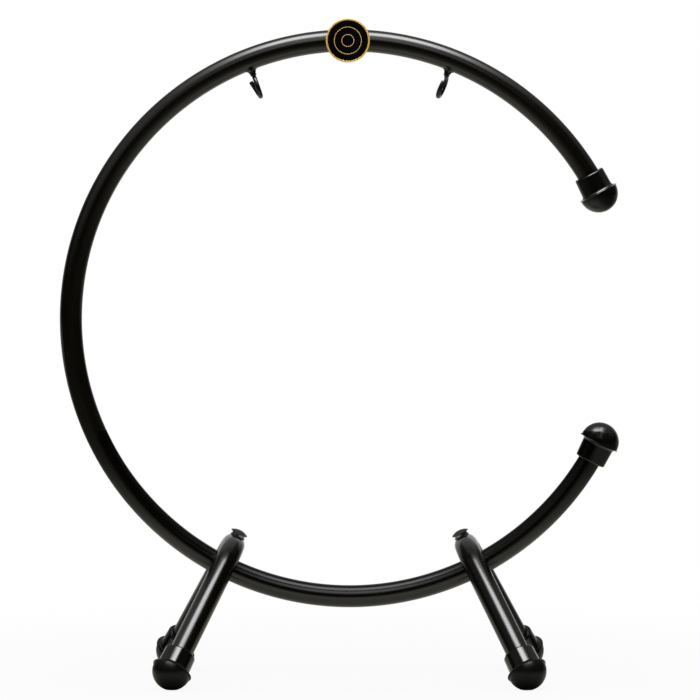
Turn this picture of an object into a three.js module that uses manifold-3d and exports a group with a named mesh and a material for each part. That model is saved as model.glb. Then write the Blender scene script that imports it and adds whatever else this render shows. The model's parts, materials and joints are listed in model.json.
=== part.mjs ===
// Gong stand: an open ring of bent steel tube with two wire hooks under its top,
// carried by two bent-tube feet that straddle the ring and are bolted to its inner side.
// Millimetres, +Z up. The ring lies in the XZ plane with its mouth towards +X, and its
// front faces -Y. Everything is laid out around the centre of the ring and then lifted
// so that the feet stand on Z = 0.

import * as THREE from 'three';
import { mergeVertices } from 'three/addons/utils/BufferGeometryUtils.js';
import Module from 'manifold-3d';

const wasm = await Module();
wasm.setup();

// Clearances and cutting
const fit = 0.3;
const overrun = 3;
const weldTolerance = 1e-4;

// Ring tube: its mouth opens by an angle above and an angle below the level of its centre
const ringRadius = 300;
const ringTubeDiameter = 24;
const ringTubeWall = 1.5;
const ringUpperEndAngle = THREE.MathUtils.degToRad(27.35);
const ringLowerEndAngle = THREE.MathUtils.degToRad(26.7);

// Feet: the angle is taken from straight down, the leg angle from the foot's centre line
const footAngle = THREE.MathUtils.degToRad(27.2);
const footTubeDiameter = 25;
const footTubeWall = 1.5;
const footBendRadius = 40;
const footLegAngle = THREE.MathUtils.degToRad(29.5);
const footLegLength = 135.7;
const footSeatDiameter = 17.4;
const footSeatDepth = 2.5;

// Rubber end caps
const capWall = 4.3;
const capWeb = 1.2;
const capCollarLength = 22.3;
const capCollarTaper = 0.65;
const capRimRadius = 1.8;
const capFlangeDiameter = 44.4;
const capFlareLength = 3.4;
const capLip = 0.5;
const capLipStep = 0.4;
const capDomeRadius = 21;
const capPatchDepth = 0.8;

// Foot bolt, washers and threaded insert
const boltDiameter = 8;
const boltLength = 40;
const boltHeadDiameter = 18.7;
const boltHeadHeight = 4;
const boltHeadRim = 0.5;
const boltSocketWidth = 5;
const boltSocketDepth = 2.4;
const boltPointChamfer = 0.8;
const springWasherDiameter = 14.6;
const springWasherThickness = 2.2;
const springWasherGap = 1.6;
const flatWasherDiameter = 16.6;
const flatWasherThickness = 1.2;
const insertDiameter = 11;
const insertLength = 14;
const insertCrimpDiameter = 13.6;
const insertCrimpDepth = 4.5;
const insertCrimpLength = 2;

// Hooks: wire, collar and loop, measured from the tube's inner surface
const hookLeftAngle = THREE.MathUtils.degToRad(21.45);
const hookRightAngle = THREE.MathUtils.degToRad(21.6);
const hookLeftSwivel = THREE.MathUtils.degToRad(-1);
const hookRightSwivel = THREE.MathUtils.degToRad(192);
const hookLeftSpread = 5.4;
const hookRightSpread = 1.5;
const hookWireDiameter = 4.8;
const hookShankReach = 4;
const hookCollarDiameter = 6.8;
const hookCollarLength = 2;
const hookCollarRound = 0.7;
const hookNeckRadius = 3.5;
const hookLoopRadius = 11.6;
const hookDrop = 29.9;
const hookSpreadPower = 2.6;
const hookTipAngle = THREE.MathUtils.degToRad(297);
const bossHeight = 4;
const bossBaseDiameter = 13;
const bossTipDiameter = 7.2;

// Badge
const badgeDiameter = 47.2;
const badgeThickness = 2;
const badgeRimWidth = 1.7;
const badgeRimRound = 0.5;
const badgeRecess = 0.9;
const badgeFaceThickness = 0.5;
const badgeRise = 0.8;
const badgeOffset = -1.9;
const badgePadLength = 30;
const badgePadWidth = 18;
const badgePadCorner = 4;
const badgePadThickness = 1.1;

// Facet counts
const tubeSides = 20;
const tubeBoreSides = 12;
const ringSteps = 56;
const footBendSteps = 12;
const capSides = 18;
const capRimSteps = 2;
const capFlareSteps = 3;
const capDomeSteps = 5;
const boltSides = 18;
const boltDomeSteps = 4;
const socketSides = 6;
const washerSides = 16;
const insertSides = 12;
const hookSides = 10;
const hookNeckSteps = 3;
const hookLoopSteps = 20;
const hookCollarSides = 12;
const bossSides = 16;
const bossSteps = 4;
const badgeSides = 36;
const padCornerSteps = 3;

// The two hooks are turned and spread a little differently by hand
const hookSettings = [
  { side: 'left', angle: -hookLeftAngle, swivel: hookLeftSwivel, tipSpread: hookLeftSpread },
  { side: 'right', angle: hookRightAngle, swivel: hookRightSwivel, tipSpread: hookRightSpread },
];
const footSettings = [
  { side: 'left', angle: footAngle },
  { side: 'right', angle: -footAngle },
];

// Radii and places that follow from the sizes above
const ringTubeRadius = ringTubeDiameter / 2;
const footTubeRadius = footTubeDiameter / 2;
const wireRadius = hookWireDiameter / 2;
const boltRadius = boltDiameter / 2;
const ringInnerSurface = ringRadius - ringTubeRadius;
const ringStepAngle = (2 * Math.PI - ringUpperEndAngle - ringLowerEndAngle) / ringSteps;
const footApex = ringInnerSurface - fit - footTubeRadius;
const footSeat = footApex - footTubeRadius + footSeatDepth;
const footBendAngle = Math.PI / 2 - footLegAngle;
const footLegStart = new THREE.Vector3(
  0,
  footBendRadius * Math.sin(footBendAngle),
  -footApex - footBendRadius * (1 - Math.cos(footBendAngle)),
);
const footLegDirection = new THREE.Vector3(0, Math.sin(footLegAngle), -Math.cos(footLegAngle));
const footLegEnd = footLegStart.clone().addScaledVector(footLegDirection, footLegLength);
const footBendInside = footBendRadius - footTubeRadius;
const insertRecess = footBendInside - Math.sqrt(footBendInside ** 2 - (insertDiameter / 2) ** 2);
const capBoreDepth = capCollarLength - capWeb;
const capDomeCentre = capCollarLength + capLip + capLipStep;
const badgePadFront = ringTubeRadius + fit + badgePadThickness;

// Materials
const powderCoat = { color: 0x161617, roughness: 0.35, metalness: 0.0 };
const blackRubber = { color: 0x111112, roughness: 0.55, metalness: 0.0 };
const blackSteel = { color: 0x1b1b1c, roughness: 0.4, metalness: 0.6 };
const zincSteel = { color: 0x8c8e90, roughness: 0.35, metalness: 1.0 };
const goldBrass = { color: 0xd9ad55, roughness: 0.3, metalness: 1.0 };
const blackEnamel = { color: 0x0b0b0c, roughness: 0.3, metalness: 0.0 };
const foam = { color: 0x2a2a2b, roughness: 0.9, metalness: 0.0 };

// A path made of straights and bends, each with its own number of steps
class BentPath extends THREE.Curve {
  constructor(pieces) {
    super();
    this.pieces = pieces;
    this.steps = pieces.reduce((sum, piece) => sum + piece.steps, 0);
  }

  locate(t) {
    let left = t * this.steps;
    for (const piece of this.pieces) {
      if (left <= piece.steps) {
        return [piece, left / piece.steps];
      }
      left -= piece.steps;
    }
    return [this.pieces[this.pieces.length - 1], 1];
  }

  getPoint(t, target = new THREE.Vector3()) {
    const [piece, share] = this.locate(t);
    return target.copy(piece.point(share));
  }

  getTangent(t, target = new THREE.Vector3()) {
    const [piece, share] = this.locate(t);
    return target.copy(piece.tangent(share)).normalize();
  }

  getUtoTmapping(u) {
    return u;
  }
}

function straight(from, to) {
  const direction = to.clone().sub(from);
  return {
    steps: 1,
    point: (share) => from.clone().addScaledVector(direction, share),
    tangent: () => direction,
  };
}

// A circular bend about a centre, from the arm `start` towards the arm `side`
function bend(centre, start, side, radius, from, to, steps) {
  const turn = Math.sign(to - from);
  return {
    steps,
    point: (share) => {
      const angle = from + (to - from) * share;
      return centre.clone()
        .addScaledVector(start, radius * Math.cos(angle))
        .addScaledVector(side, radius * Math.sin(angle));
    },
    tangent: (share) => {
      const angle = from + (to - from) * share;
      return new THREE.Vector3()
        .addScaledVector(start, -turn * Math.sin(angle))
        .addScaledVector(side, turn * Math.cos(angle));
    },
  };
}

function circlePoints(radius, sides) {
  const points = [];
  for (let i = 0; i < sides; i += 1) {
    const angle = (2 * Math.PI * i) / sides;
    points.push(new THREE.Vector2(radius * Math.cos(angle), radius * Math.sin(angle)));
  }
  return points;
}

// A rod or tube of round section along a path
function sweep(path, radius, sides, boreRadius = 0, boreSides = 0) {
  const section = new THREE.Shape(circlePoints(radius, sides));
  if (boreRadius > 0) {
    section.holes.push(new THREE.Path(circlePoints(boreRadius, boreSides)));
  }
  return new THREE.ExtrudeGeometry(section, { steps: path.steps, extrudePath: path });
}

// Points of an elliptical quarter or arc in a revolved profile: radius first, then height
function arcPoints(centreRadius, centreHeight, acrossRadius, alongRadius, from, to, steps) {
  const points = [];
  for (let i = 0; i <= steps; i += 1) {
    const angle = from + ((to - from) * i) / steps;
    points.push(new THREE.Vector2(
      centreRadius + acrossRadius * Math.cos(angle),
      centreHeight + alongRadius * Math.sin(angle),
    ));
  }
  return points;
}

function onAxis(height) {
  return new THREE.Vector2(0, height);
}

function point(radius, height) {
  return new THREE.Vector2(radius, height);
}

// Solids for cutting and joining
function toSolid(geometry, matrix = new THREE.Matrix4()) {
  const copy = geometry.clone().applyMatrix4(matrix);
  copy.deleteAttribute('normal');
  copy.deleteAttribute('uv');
  const welded = mergeVertices(copy, weldTolerance);
  const source = welded.index.array;
  const triangles = [];
  for (let i = 0; i < source.length; i += 3) {
    const [a, b, c] = [source[i], source[i + 1], source[i + 2]];
    if (a !== b && b !== c && c !== a) {
      triangles.push(a, b, c);
    }
  }
  return new wasm.Manifold(new wasm.Mesh({
    numProp: 3,
    vertProperties: new Float32Array(welded.attributes.position.array),
    triVerts: new Uint32Array(triangles),
  }));
}

function toGeometry(solid) {
  const mesh = solid.getMesh();
  const geometry = new THREE.BufferGeometry();
  geometry.setAttribute('position', new THREE.BufferAttribute(mesh.vertProperties, 3));
  geometry.setIndex(new THREE.BufferAttribute(mesh.triVerts, 1));
  geometry.computeVertexNormals();
  return geometry;
}

function named(name, geometry, finish) {
  const mesh = new THREE.Mesh(geometry, new THREE.MeshStandardMaterial(finish));
  mesh.name = name;
  return mesh;
}

// Turns a piece revolved about its own Y so that its axis runs along Z
function uprightRotation() {
  return new THREE.Matrix4().makeRotationX(Math.PI / 2);
}

// A piece of the ring's arc between two angles, counted from +X towards +Z
function ringBend(from, to, steps) {
  const east = new THREE.Vector3(1, 0, 0);
  const up = new THREE.Vector3(0, 0, 1);
  return bend(new THREE.Vector3(), east, up, ringRadius, from, to, steps);
}

function ringArc(from, to, steps) {
  return new BentPath([ringBend(from, to, steps)]);
}

// A rod a clearance larger than the ring tube, with the tube's own facets, which cuts the
// seat of a piece of the given length. The frame is the piece's place on the ring.
function ringSeatCutter(length, frame) {
  const origin = new THREE.Vector3().setFromMatrixPosition(frame);
  const fromEnd = Math.atan2(origin.z, origin.x) - ringUpperEndAngle;
  const halfAngle = length / ringRadius;
  const first = Math.floor((fromEnd - halfAngle) / ringStepAngle);
  const last = Math.ceil((fromEnd + halfAngle) / ringStepAngle);
  const path = ringArc(
    ringUpperEndAngle + first * ringStepAngle,
    ringUpperEndAngle + last * ringStepAngle,
    last - first,
  );
  return toSolid(sweep(path, ringTubeRadius + fit, tubeSides), frame.clone().invert());
}

function ringTurn(angle) {
  return new THREE.Matrix4().makeRotationY(angle);
}

// A drill of the given radius along a foot's or hook's own Z, between two heights
function drill(radius, low, high, sides, turn) {
  const cylinder = new THREE.CylinderGeometry(radius, radius, high - low, sides);
  const place = new THREE.Matrix4().makeTranslation(0, 0, (low + high) / 2);
  return toSolid(cylinder, turn.clone().multiply(place).multiply(uprightRotation()));
}

// Ring tube with the holes for the two inserts and the two hook shanks
function ringTubeGeometry() {
  const path = ringArc(ringUpperEndAngle, 2 * Math.PI - ringLowerEndAngle, ringSteps);
  const boreRadius = ringTubeRadius - ringTubeWall;
  let tube = toSolid(sweep(path, ringTubeRadius, tubeSides, boreRadius, tubeBoreSides));
  for (const foot of footSettings) {
    const hole = insertDiameter / 2 + fit;
    const turn = ringTurn(foot.angle);
    tube = tube.subtract(drill(hole, -ringRadius, -footApex, insertSides, turn));
  }
  for (const hook of hookSettings) {
    const turn = ringTurn(hook.angle);
    tube = tube.subtract(drill(wireRadius + fit, footApex, ringRadius, hookSides, turn));
  }
  return toGeometry(tube);
}

// End cap, revolved about Y from its mouth at 0 to the tip of its dome
function capProfile(tubeRadius) {
  const collar = tubeRadius + fit + capWall;
  const foot = collar + capCollarTaper;
  const flange = capFlangeDiameter / 2;
  const flareStart = capCollarLength - capFlareLength;
  const quarter = Math.PI / 2;
  return [
    onAxis(0),
    ...arcPoints(collar - capRimRadius, capRimRadius, capRimRadius, capRimRadius, -quarter, 0, capRimSteps),
    ...arcPoints(flange, flareStart, foot - flange, capFlareLength, 0, quarter, capFlareSteps),
    point(flange, capCollarLength + capLip),
    ...arcPoints(0, capDomeCentre, capDomeRadius, capDomeRadius, 0, quarter, capDomeSteps),
  ];
}

function capSolid(tubeRadius) {
  return toSolid(new THREE.LatheGeometry(capProfile(tubeRadius), capSides));
}

// Cap on one end of the ring. Its axis continues the end of the tube, and its bore
// follows the tube's curve, facet by facet.
function ringCap(name, angle, turn) {
  const end = ringArc(angle, angle, 1).getPoint(0);
  const outwards = new THREE.Vector3(-Math.sin(angle), 0, Math.cos(angle)).multiplyScalar(turn);
  const mouth = end.clone().addScaledVector(outwards, fit - capBoreDepth);
  const place = new THREE.Matrix4().compose(
    mouth,
    new THREE.Quaternion().setFromUnitVectors(new THREE.Vector3(0, 1, 0), outwards),
    new THREE.Vector3(1, 1, 1),
  );
  const boreSteps = Math.ceil((capBoreDepth + overrun) / ringRadius / ringStepAngle);
  const boreEnd = angle - turn * boreSteps * ringStepAngle;
  const path = new BentPath([
    ringBend(angle + turn * fit / ringRadius, angle, 1),
    ringBend(angle, boreEnd, boreSteps),
  ]);
  const bore = toSolid(sweep(path, ringTubeRadius + fit, tubeSides), place.clone().invert());
  const cap = named(name, toGeometry(capSolid(ringTubeRadius).subtract(bore)), blackRubber);
  cap.applyMatrix4(place);
  return cap;
}

// A foot's centre line, with both legs lengthened past their ends by the given amount
function footPath(extra) {
  const front = new THREE.Vector3(1, -1, 1);
  const centre = new THREE.Vector3(0, 0, -footApex - footBendRadius);
  const up = new THREE.Vector3(0, 0, 1);
  const back = new THREE.Vector3(0, 1, 0);
  const end = footLegEnd.clone().addScaledVector(footLegDirection, extra);
  return new BentPath([
    straight(end.clone().multiply(front), footLegStart.clone().multiply(front)),
    bend(centre, up, back, footBendRadius, -footBendAngle, footBendAngle, footBendSteps),
    straight(footLegStart, end),
  ]);
}

// Foot tube in its own frame: its centre line runs down -Z and its legs spread along Y.
// Its top is pressed in to a flat round seat for the washers, so the wall dips into the
// bore there.
function footTubeGeometry() {
  const unturned = new THREE.Matrix4();
  const seatRadius = footSeatDiameter / 2;
  const dipRadius = seatRadius + footTubeWall;
  const high = -footSeat + footSeatDepth + overrun;
  const low = -footApex - footTubeRadius - overrun;
  const seat = drill(seatRadius, -footSeat, high, tubeSides, unturned);
  const dip = drill(dipRadius, -footSeat - footTubeWall, high, tubeSides, unturned);
  const bolt = drill(boltRadius + fit, low, high, insertSides, unturned);
  const boreRadius = footTubeRadius - footTubeWall;
  const bore = toSolid(sweep(footPath(overrun), boreRadius, tubeBoreSides)).subtract(dip);
  const outside = toSolid(sweep(footPath(0), footTubeRadius, tubeSides));
  return toGeometry(outside.subtract(seat).subtract(bore).subtract(bolt));
}

// Where a leg's cap sits in the foot's frame, on the front (-1) or the back (+1)
function footCapPlace(end) {
  const side = new THREE.Vector3(1, end, 1);
  const along = footLegDirection.clone().multiply(side);
  const mouth = footLegEnd.clone().multiply(side).addScaledVector(along, fit - capBoreDepth);
  return new THREE.Matrix4().compose(
    mouth,
    new THREE.Quaternion().setFromUnitVectors(new THREE.Vector3(0, 1, 0), along),
    new THREE.Vector3(1, 1, 1),
  );
}

// Height of the ring's centre above the floor: the domes stand on small worn flats
const domeCentre = new THREE.Vector3(0, capDomeCentre, 0)
  .applyMatrix4(footCapPlace(1))
  .applyMatrix4(ringTurn(footAngle));
const standHeight = capDomeRadius - capPatchDepth - domeCentre.z;

function footCap(name, end, angle) {
  const place = footCapPlace(end);
  const boreLength = capBoreDepth + overrun;
  const bore = new THREE.CylinderGeometry(
    footTubeRadius + fit,
    footTubeRadius + fit,
    boreLength,
    tubeSides,
  );
  const boreMove = new THREE.Matrix4().makeTranslation(0, capBoreDepth - boreLength / 2, 0);
  const floorSize = 2 * capFlangeDiameter;
  const floor = new THREE.BoxGeometry(floorSize, floorSize, floorSize);
  const floorMove = new THREE.Matrix4()
    .makeTranslation(domeCentre.x * Math.sign(angle), end * domeCentre.y, -standHeight - floorSize / 2);
  const toCap = ringTurn(angle).multiply(place).invert();
  const solid = capSolid(footTubeRadius)
    .subtract(toSolid(bore, boreMove))
    .subtract(toSolid(floor, toCap.multiply(floorMove)));
  const cap = named(name, toGeometry(solid), blackRubber);
  cap.applyMatrix4(place);
  return cap;
}

// Button-head bolt, its head's underside at 0 and its shank running down -Y
function boltGeometry() {
  const headRadius = boltHeadDiameter / 2;
  const dome = boltHeadHeight - boltHeadRim;
  const domeRadius = (headRadius ** 2 + dome ** 2) / (2 * dome);
  const domeAngle = Math.asin(headRadius / domeRadius);
  const quarter = Math.PI / 2;
  const profile = [
    onAxis(-boltLength),
    point(boltRadius - boltPointChamfer, -boltLength),
    point(boltRadius, -boltLength + boltPointChamfer),
    point(boltRadius, 0),
    point(headRadius, 0),
    ...arcPoints(
      0,
      boltHeadHeight - domeRadius,
      domeRadius,
      domeRadius,
      quarter - domeAngle,
      quarter,
      boltDomeSteps,
    ),
  ];
  const socketRadius = boltSocketWidth / Math.sqrt(3);
  const socketHeight = boltSocketDepth + overrun;
  const socket = new THREE.CylinderGeometry(socketRadius, socketRadius, socketHeight, socketSides);
  const socketMove = new THREE.Matrix4()
    .makeTranslation(0, boltHeadHeight - boltSocketDepth + socketHeight / 2, 0);
  const blank = toSolid(new THREE.LatheGeometry(profile, boltSides));
  return toGeometry(blank.subtract(toSolid(socket, socketMove)));
}

// Split spring washer, lying in XY
function springWasherGeometry() {
  const outer = springWasherDiameter / 2;
  const inner = boltRadius + fit;
  const halfSlit = Math.asin(springWasherGap / 2 / outer);
  const shape = new THREE.Shape();
  shape.absarc(0, 0, outer, halfSlit, 2 * Math.PI - halfSlit, false);
  shape.absarc(0, 0, inner, 2 * Math.PI - halfSlit, halfSlit, true);
  return new THREE.ExtrudeGeometry(shape, {
    depth: springWasherThickness,
    bevelEnabled: false,
    curveSegments: washerSides,
  });
}

function flatWasherGeometry() {
  const shape = new THREE.Shape(circlePoints(flatWasherDiameter / 2, washerSides));
  shape.holes.push(new THREE.Path(circlePoints(boltRadius + fit, washerSides)));
  return new THREE.ExtrudeGeometry(shape, { depth: flatWasherThickness, bevelEnabled: false });
}

// Blind threaded insert: its mouth at 0, its body and crimped collar running down -Y
function insertGeometry() {
  const body = insertDiameter / 2;
  const crimp = insertCrimpDiameter / 2;
  const bore = boltRadius + fit;
  const crimpEnd = insertCrimpDepth + insertCrimpLength;
  const profile = [
    point(bore, 0),
    point(bore, -insertLength),
    point(body, -insertLength),
    point(body, -crimpEnd),
    point(crimp, -crimpEnd),
    point(crimp, -insertCrimpDepth),
    point(body, -insertCrimpDepth),
    point(body, 0),
    point(bore, 0),
  ];
  return new THREE.LatheGeometry(profile, insertSides);
}

// One foot: bent tube, its two caps, and the bolt that holds it to the ring
function foot(side, angle) {
  const group = new THREE.Group();
  group.add(named(`foot_tube_${side}`, footTubeGeometry(), powderCoat));
  group.add(footCap(`foot_cap_${side}_front`, -1, angle));
  group.add(footCap(`foot_cap_${side}_rear`, 1, angle));

  const flatWasher = named(`flat_washer_${side}`, flatWasherGeometry(), blackSteel);
  flatWasher.position.z = -footSeat + fit;
  const springWasher = named(`spring_washer_${side}`, springWasherGeometry(), zincSteel);
  springWasher.position.z = flatWasher.position.z + flatWasherThickness + fit;
  const bolt = named(`foot_bolt_${side}`, boltGeometry(), blackSteel);
  bolt.position.z = springWasher.position.z + springWasherThickness + fit;
  bolt.rotation.x = Math.PI / 2;
  const insert = named(`threaded_insert_${side}`, insertGeometry(), zincSteel);
  insert.position.z = -ringInnerSurface - insertRecess;
  insert.rotation.x = Math.PI / 2;
  group.add(flatWasher, springWasher, bolt, insert);
  group.applyMatrix4(ringTurn(angle));
  return group;
}

// A hook's site: its origin is on the tube's inner surface, with Y pointing at the
// ring's centre and Z to the back
const hookSite = new THREE.Matrix4()
  .makeTranslation(0, 0, ringInnerSurface)
  .multiply(new THREE.Matrix4().makeRotationX(-Math.PI / 2));

// Welded boss, coped to the tube at the given place and bored for the hook's shank
function bossGeometry(place) {
  const base = bossBaseDiameter / 2;
  const tip = bossTipDiameter / 2;
  const bore = wireRadius + fit;
  const profile = [
    point(bore, bossHeight),
    point(bore, -overrun),
    point(base, -overrun),
    ...arcPoints(base, bossHeight, tip - base, -bossHeight, Math.PI / 2, 0, bossSteps),
    point(bore, bossHeight),
  ];
  const blank = toSolid(new THREE.LatheGeometry(profile, bossSides));
  return toGeometry(blank.subtract(ringSeatCutter(bossBaseDiameter, place)));
}

// The hook's loop. It starts at the top on the back side, runs round below and up the
// front, and drifts sideways so that its tip passes beside the neck.
function hookLoop(startAngle, centreDepth, tipSpread) {
  const at = (share) => {
    const angle = startAngle + (hookTipAngle - startAngle) * share;
    return new THREE.Vector3(
      -tipSpread * share ** hookSpreadPower,
      centreDepth - hookLoopRadius * Math.cos(angle),
      hookLoopRadius * Math.sin(angle),
    );
  };
  const probeShare = 1e-3;
  return {
    steps: hookLoopSteps,
    point: at,
    tangent: (share) => at(share + probeShare).sub(at(Math.max(share - probeShare, 0))),
  };
}

// Wire hook with its threaded shank, pressed collar, neck and loop
function hookGeometry(tipSpread) {
  const centreDepth = hookDrop - hookLoopRadius;
  const reach = hookLoopRadius + hookNeckRadius;
  const startAngle = Math.asin(hookNeckRadius / reach);
  const neckDepth = centreDepth - reach * Math.cos(startAngle);
  const neckCentre = new THREE.Vector3(0, neckDepth, hookNeckRadius);
  const front = new THREE.Vector3(0, 0, -1);
  const down = new THREE.Vector3(0, 1, 0);
  const shankTop = new THREE.Vector3(0, -hookShankReach, 0);
  const shankEnd = new THREE.Vector3(0, neckDepth, 0);
  const neckTurn = Math.PI / 2 - startAngle;
  const wire = new BentPath([
    straight(shankTop, shankEnd),
    bend(neckCentre, front, down, hookNeckRadius, 0, neckTurn, hookNeckSteps),
    hookLoop(startAngle, centreDepth, tipSpread),
  ]);
  const top = bossHeight + fit;
  const bottom = top + hookCollarLength;
  const radius = hookCollarDiameter / 2;
  const collar = new THREE.LatheGeometry([
    onAxis(top),
    point(radius - hookCollarRound, top),
    point(radius, top + hookCollarRound),
    point(radius, bottom - hookCollarRound),
    point(radius - hookCollarRound, bottom),
    onAxis(bottom),
  ], hookCollarSides);
  return toGeometry(toSolid(sweep(wire, wireRadius, hookSides)).add(toSolid(collar)));
}

// One hook and its boss, turned to their place on the ring
function hookAndBoss({ side, angle, swivel, tipSpread }) {
  const place = ringTurn(angle).multiply(hookSite);
  const boss = named(`hook_boss_${side}`, bossGeometry(place), powderCoat);
  const hook = named(`hook_${side}`, hookGeometry(tipSpread), blackSteel);
  hook.rotation.y = swivel;
  const site = new THREE.Group();
  site.add(boss, hook);
  site.applyMatrix4(place);
  return site;
}

// The pad's frame: its origin on the flat front, with Z running back into the tube
const badgePadPlace = new THREE.Matrix4()
  .makeTranslation(badgeOffset, -badgePadFront, ringRadius)
  .multiply(new THREE.Matrix4().makeRotationX(-Math.PI / 2));

// Pad between the badge and the tube, flat in front and coped to the tube behind
function badgePadGeometry() {
  const x = badgePadLength / 2;
  const y = badgePadWidth / 2;
  const corner = badgePadCorner;
  const shape = new THREE.Shape();
  shape.absarc(x - corner, y - corner, corner, 0, Math.PI / 2, false);
  shape.absarc(corner - x, y - corner, corner, Math.PI / 2, Math.PI, false);
  shape.absarc(corner - x, corner - y, corner, Math.PI, 1.5 * Math.PI, false);
  shape.absarc(x - corner, corner - y, corner, 1.5 * Math.PI, 2 * Math.PI, false);
  const depth = badgePadThickness + fit + ringTubeRadius;
  const block = new THREE.ExtrudeGeometry(shape, {
    depth,
    bevelEnabled: false,
    curveSegments: padCornerSteps,
  });
  return toGeometry(toSolid(block).subtract(ringSeatCutter(badgePadLength, badgePadPlace)));
}

// Badge plate, revolved about Y from its back at 0, with a raised rim round its face
function badgePlateGeometry() {
  const radius = badgeDiameter / 2;
  const recess = radius - badgeRimWidth;
  return new THREE.LatheGeometry([
    onAxis(0),
    point(radius - badgeRimRound, 0),
    point(radius, badgeRimRound),
    point(radius, badgeThickness - badgeRimRound),
    point(radius - badgeRimRound, badgeThickness),
    point(recess, badgeThickness),
    point(recess, badgeThickness - badgeRecess),
    onAxis(badgeThickness - badgeRecess),
  ], badgeSides);
}

function badgeFaceGeometry() {
  const radius = badgeDiameter / 2 - badgeRimWidth - fit;
  const back = badgeThickness - badgeRecess + fit;
  return new THREE.LatheGeometry([
    onAxis(back),
    point(radius, back),
    point(radius, back + badgeFaceThickness),
    onAxis(back + badgeFaceThickness),
  ], badgeSides);
}

// Round badge on the front of the ring's top
function badge() {
  const group = new THREE.Group();
  const pad = named('badge_pad', badgePadGeometry(), foam);
  pad.applyMatrix4(badgePadPlace);
  const disc = new THREE.Group();
  disc.add(named('badge_plate', badgePlateGeometry(), goldBrass));
  disc.add(named('badge_face', badgeFaceGeometry(), blackEnamel));
  disc.position.set(badgeOffset, -badgePadFront - fit, ringRadius + badgeRise);
  disc.rotation.x = Math.PI;
  group.add(pad, disc);
  return group;
}

const stand = new THREE.Group();
stand.add(named('ring_tube', ringTubeGeometry(), powderCoat));
stand.add(ringCap('ring_cap_upper', ringUpperEndAngle, -1));
stand.add(ringCap('ring_cap_lower', -ringLowerEndAngle, 1));
for (const { side, angle } of footSettings) {
  stand.add(foot(side, angle));
}
for (const hook of hookSettings) {
  stand.add(hookAndBoss(hook));
}
stand.add(badge());

// The origin is the middle of the stand's footprint, on the floor
const middle = new THREE.Box3().setFromObject(stand, true).getCenter(new THREE.Vector3());
stand.position.set(-middle.x, -middle.y, standHeight);

export default stand;
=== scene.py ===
import json
import math

import bmesh
import bpy
from mathutils import Matrix, Vector


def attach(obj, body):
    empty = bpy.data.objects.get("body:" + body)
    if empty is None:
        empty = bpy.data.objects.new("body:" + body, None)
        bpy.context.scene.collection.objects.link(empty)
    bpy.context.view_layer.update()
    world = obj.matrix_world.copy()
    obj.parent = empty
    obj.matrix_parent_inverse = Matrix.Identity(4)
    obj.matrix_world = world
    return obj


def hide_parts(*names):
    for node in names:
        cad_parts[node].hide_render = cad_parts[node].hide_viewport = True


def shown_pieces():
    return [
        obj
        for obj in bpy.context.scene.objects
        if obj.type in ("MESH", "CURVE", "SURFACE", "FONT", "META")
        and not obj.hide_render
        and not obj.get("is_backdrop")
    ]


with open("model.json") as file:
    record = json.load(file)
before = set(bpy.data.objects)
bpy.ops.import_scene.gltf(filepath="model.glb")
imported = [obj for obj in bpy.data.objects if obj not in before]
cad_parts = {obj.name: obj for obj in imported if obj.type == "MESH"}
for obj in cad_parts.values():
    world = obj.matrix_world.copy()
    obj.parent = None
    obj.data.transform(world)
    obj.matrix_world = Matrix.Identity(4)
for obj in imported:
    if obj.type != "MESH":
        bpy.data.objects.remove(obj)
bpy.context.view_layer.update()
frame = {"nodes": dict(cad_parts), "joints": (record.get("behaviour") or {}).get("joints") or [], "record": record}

SCENE = bpy.context.scene
RECORD = frame["record"]
BODIES = {
    node: body
    for body, nodes in RECORD["behaviour"]["bodies"].items()
    for node in nodes
}
JOINTS = {joint["child"]: joint for joint in frame["joints"]}

MM = 0.001
QUARTER = math.pi / 2
X_AXIS = Vector((1, 0, 0))
Y_AXIS = Vector((0, 1, 0))
SIDES = {"left": -1, "right": 1}

# Clearance between pieces
FIT = 0.3 * MM

# Ring tube
RING_RADIUS = 300 * MM
RING_TUBE_RADIUS = 12 * MM
RING_TUBE_WALL = 1.5 * MM
RING_UPPER_END = math.radians(27.35)
RING_LOWER_END = math.radians(-26.7)
HOOK_JOINT_RADIUS = 280 * MM

# Feet
FOOT_TURNS = {"left": math.radians(27.2), "right": math.radians(-27.2)}
FOOT_TUBE_RADIUS = 12.5 * MM
FOOT_TUBE_WALL = 1.5 * MM
FOOT_BEND_RADIUS = 40 * MM
FOOT_LEG_ANGLE = math.radians(29.5)
FOOT_LEG_LENGTH = 135.7 * MM
FOOT_APEX = RING_RADIUS - RING_TUBE_RADIUS - FIT - FOOT_TUBE_RADIUS
FOOT_BEND_ANGLE = QUARTER - FOOT_LEG_ANGLE
FOOT_BEND_CENTRE = Vector((0, 0, -FOOT_APEX - FOOT_BEND_RADIUS))
FOOT_SEAT_DEPTH = 2.5 * MM
FOOT_SEAT_RADIUS = 8.7 * MM
FOOT_SEAT_BLEND = 1.6 * MM
FOOT_SEAT = FOOT_APEX - FOOT_TUBE_RADIUS + FOOT_SEAT_DEPTH

# End caps
CAP_WALL = 4.3 * MM
CAP_WEB = 1.2 * MM
CAP_COLLAR_LENGTH = 22.3 * MM
CAP_COLLAR_TAPER = 0.65 * MM
CAP_RIM_RADIUS = 1.8 * MM
CAP_FLANGE_RADIUS = 22.2 * MM
CAP_FLARE_LENGTH = 3.4 * MM
CAP_LIP = 0.5 * MM
CAP_LIP_STEP = 0.4 * MM
CAP_DOME_RADIUS = 21 * MM
CAP_EDGE_ROUND = 0.5 * MM
CAP_BORE_DEPTH = CAP_COLLAR_LENGTH - CAP_WEB
CAP_DOME_CENTRE = CAP_COLLAR_LENGTH + CAP_LIP + CAP_LIP_STEP

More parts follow.
